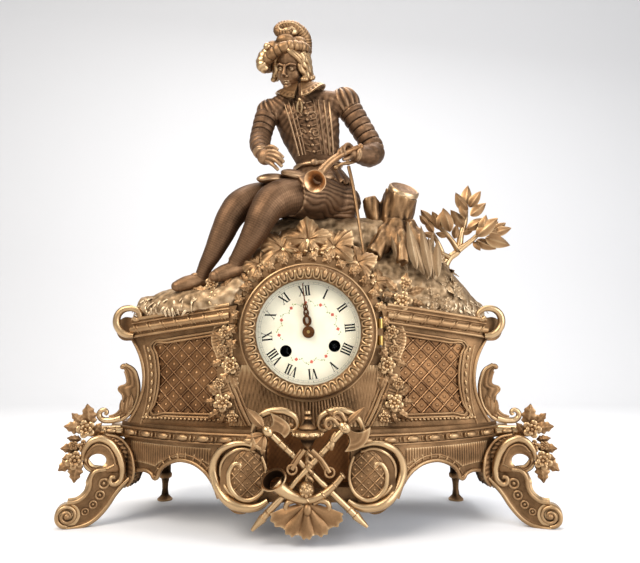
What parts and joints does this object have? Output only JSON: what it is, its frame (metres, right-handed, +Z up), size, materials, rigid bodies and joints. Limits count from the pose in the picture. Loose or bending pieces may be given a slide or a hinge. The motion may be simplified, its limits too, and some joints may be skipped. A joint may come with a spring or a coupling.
{
  "type": "figural mantel clock",
  "caption": "Bowed gilt mantel clock on scroll feet, a seated figure with a horn on rockwork above a round enamel dial, hinged bezel, striking spring movement and swinging pendulum.",
  "frame": {"origin": "floor level under the middle of the clock's overall box", "axes": "+X to the viewer's right, +Y to the back (the dial faces -Y), +Z up"},
  "size_m": [0.398, 0.1751, 0.4189],
  "materials": {
    "gilt_bronze": "worn gilding over brown patina, satin",
    "movement_brass": "brushed, lacquered",
    "steel": "ground, slightly blued",
    "bell_bronze": "turned, polished",
    "white_enamel": "fired gloss enamel with painted numerals and small roses",
    "clear_glass": "polished",
    "copper_bronze": "polished coppery gilding",
    "brown_copper": "satin, brown"
  },
  "bodies": {
    "case": {"base_casting": "gilt_bronze", "base_ledge": "gilt_bronze", "scroll_feet": "gilt_bronze", "rear_feet": "gilt_bronze", "case_body": "gilt_bronze", "leaf_brackets": "gilt_bronze", "cornice": "gilt_bronze", "rock_mound": "gilt_bronze", "tree_stump": "gilt_bronze", "foliage_spray": "gilt_bronze", "vine_leaves": "gilt_bronze", "flower_garlands": "gilt_bronze", "trophy_mount": "gilt_bronze", "figure_torso": "gilt_bronze", "figure_head": "gilt_bronze", "figure_right_arm": "gilt_bronze", "figure_left_arm": "gilt_bronze", "figure_right_leg": "gilt_bronze", "figure_left_leg": "gilt_bronze", "hunting_horn": "copper_bronze", "rapier": "gilt_bronze", "dial_ring": "movement_brass", "dial": "white_enamel", "hinge_pins": "steel", "front_plate": "movement_brass", "back_plate": "movement_brass", "plate_pillars": "movement_brass", "movement_straps": "movement_brass", "strap_screws": "steel", "rear_ring": "movement_brass", "bell": "bell_bronze", "bell_stand": "steel", "suspension_cock": "movement_brass", "case_bolts": "steel"},
    "bezel": {"bezel_ring": "gilt_bronze", "bezel_glass": "clear_glass"},
    "rear_door": {"rear_cover": "movement_brass"},
    "centre": {"centre_wheel": "movement_brass", "cannon_pinion": "movement_brass", "minute_hand": "brown_copper"},
    "hour": {"hour_wheel": "movement_brass", "hour_hand": "brown_copper"},
    "motion": {"minute_wheel": "movement_brass"},
    "going_drum": {"going_barrel": "movement_brass", "going_mainspring": "steel"},
    "going_arbor": {"going_winding_arbor": "steel"},
    "going_pawl": {"going_click": "steel"},
    "second": {"second_wheel": "movement_brass"},
    "third": {"third_wheel": "movement_brass"},
    "escape": {"escape_wheel": "movement_brass"},
    "anchor": {"pallet_anchor": "steel"},
    "swing": {"pendulum": "movement_brass"},
    "striking_drum": {"striking_barrel": "movement_brass", "striking_mainspring": "steel"},
    "striking_arbor": {"striking_winding_arbor": "steel"},
    "striking_pawl": {"striking_click": "steel"},
    "striking_second": {"striking_second_wheel": "movement_brass"},
    "pins": {"pin_wheel": "movement_brass"},
    "fly": {"strike_fly": "movement_brass"},
    "hammer": {"bell_hammer": "steel"}
  },
  "joints": [
    {"name": "bezel_hinge", "type": "hinge", "parent": "case", "child": "bezel", "pos_m": [0.0542, -0.0643, 0.15], "axis": [0, 0, 1], "range_deg": [0, 90]},
    {"name": "rear_door_hinge", "type": "hinge", "parent": "case", "child": "rear_door", "pos_m": [0.0536, 0.0688, 0.15], "axis": [0, 0, 1], "range_deg": [-110, 0]},
    {"name": "centre_turn", "type": "hinge", "parent": "case", "child": "centre", "pos_m": [0, -0.03, 0.15], "axis": [0, -1, 0], "continuous": true},
    {"name": "hour_turn", "type": "hinge", "parent": "case", "child": "hour", "pos_m": [0, -0.03, 0.15], "axis": [0, -1, 0], "continuous": true},
    {"name": "motion_turn", "type": "hinge", "parent": "case", "child": "motion", "pos_m": [0.00125, -0.03, 0.13807], "axis": [0, -1, 0], "continuous": true},
    {"name": "going_drum_turn", "type": "hinge", "parent": "case", "child": "going_drum", "pos_m": [0.01969, -0.03, 0.13953], "axis": [0, -1, 0], "continuous": true},
    {"name": "going_arbor_turn", "type": "hinge", "parent": "case", "child": "going_arbor", "pos_m": [0.01969, -0.03, 0.13953], "axis": [0, -1, 0], "continuous": true},
    {"name": "going_click_tilt", "type": "hinge", "parent": "case", "child": "going_pawl", "pos_m": [0.02904, -0.03, 0.14409], "axis": [0, -1, 0], "range_deg": [0, 12], "stiffness_Nm_per_rad": 0.004, "springref_deg": -2.86},
    {"name": "second_turn", "type": "hinge", "parent": "case", "child": "second", "pos_m": [0.01244, -0.03, 0.1586], "axis": [0, -1, 0], "continuous": true},
    {"name": "third_turn", "type": "hinge", "parent": "case", "child": "third", "pos_m": [-0.00655, -0.03, 0.16183], "axis": [0, -1, 0], "continuous": true},
    {"name": "escape_turn", "type": "hinge", "parent": "case", "child": "escape", "pos_m": [-0.00236, -0.03, 0.17248], "axis": [0, -1, 0], "continuous": true},
    {"name": "pendulum_swing", "type": "hinge", "parent": "case", "child": "swing", "pos_m": [-0.00369, 0.0035, 0.18513], "axis": [0, -1, 0], "range_deg": [-3.5, 3.5]},
    {"name": "anchor_rock", "type": "hinge", "parent": "case", "child": "anchor", "pos_m": [-0.00369, -0.03, 0.18513], "axis": [0, -1, 0], "range_deg": [-3.5, 3.5]},
    {"name": "striking_drum_turn", "type": "hinge", "parent": "case", "child": "striking_drum", "pos_m": [-0.01708, -0.03, 0.13567], "axis": [0, -1, 0], "continuous": true},
    {"name": "striking_arbor_turn", "type": "hinge", "parent": "case", "child": "striking_arbor", "pos_m": [-0.01708, -0.03, 0.13567], "axis": [0, -1, 0], "continuous": true},
    {"name": "striking_click_tilt", "type": "hinge", "parent": "case", "child": "striking_pawl", "pos_m": [-0.02717, -0.03, 0.13818], "axis": [0, -1, 0], "range_deg": [-12, 0], "stiffness_Nm_per_rad": 0.004, "springref_deg": 2.86},
    {"name": "striking_second_turn", "type": "hinge", "parent": "case", "child": "striking_second", "pos_m": [-0.02463, -0.03, 0.15462], "axis": [0, -1, 0], "continuous": true},
    {"name": "pin_wheel_turn", "type": "hinge", "parent": "case", "child": "pins", "pos_m": [-0.02116, -0.03, 0.16453], "axis": [0, -1, 0], "continuous": true},
    {"name": "fly_turn", "type": "hinge", "parent": "case", "child": "fly", "pos_m": [-0.01549, -0.03, 0.17277], "axis": [0, -1, 0], "continuous": true},
    {"name": "hammer_lift", "type": "hinge", "parent": "case", "child": "hammer", "pos_m": [-0.0331, -0.03, 0.16361], "axis": [0, -1, 0], "range_deg": [-10, 0], "stiffness_Nm_per_rad": 0.02, "springref_deg": 2.86}
  ],
  "couplings": [
    {"joint": "second_turn", "follows": "centre_turn", "ratio": -0.16667},
    {"joint": "going_drum_turn", "follows": "centre_turn", "ratio": 0.033333},
    {"joint": "third_turn", "follows": "centre_turn", "ratio": -12},
    {"joint": "escape_turn", "follows": "centre_turn", "ratio": 144},
    {"joint": "motion_turn", "follows": "centre_turn", "ratio": -0.33333},
    {"joint": "hour_turn", "follows": "centre_turn", "ratio": 0.083333},
    {"joint": "striking_second_turn", "follows": "striking_drum_turn", "ratio": -5},
    {"joint": "pin_wheel_turn", "follows": "striking_drum_turn", "ratio": 30},
    {"joint": "fly_turn", "follows": "striking_drum_turn", "ratio": -270},
    {"joint": "anchor_rock", "follows": "pendulum_swing", "ratio": 1}
  ]
}
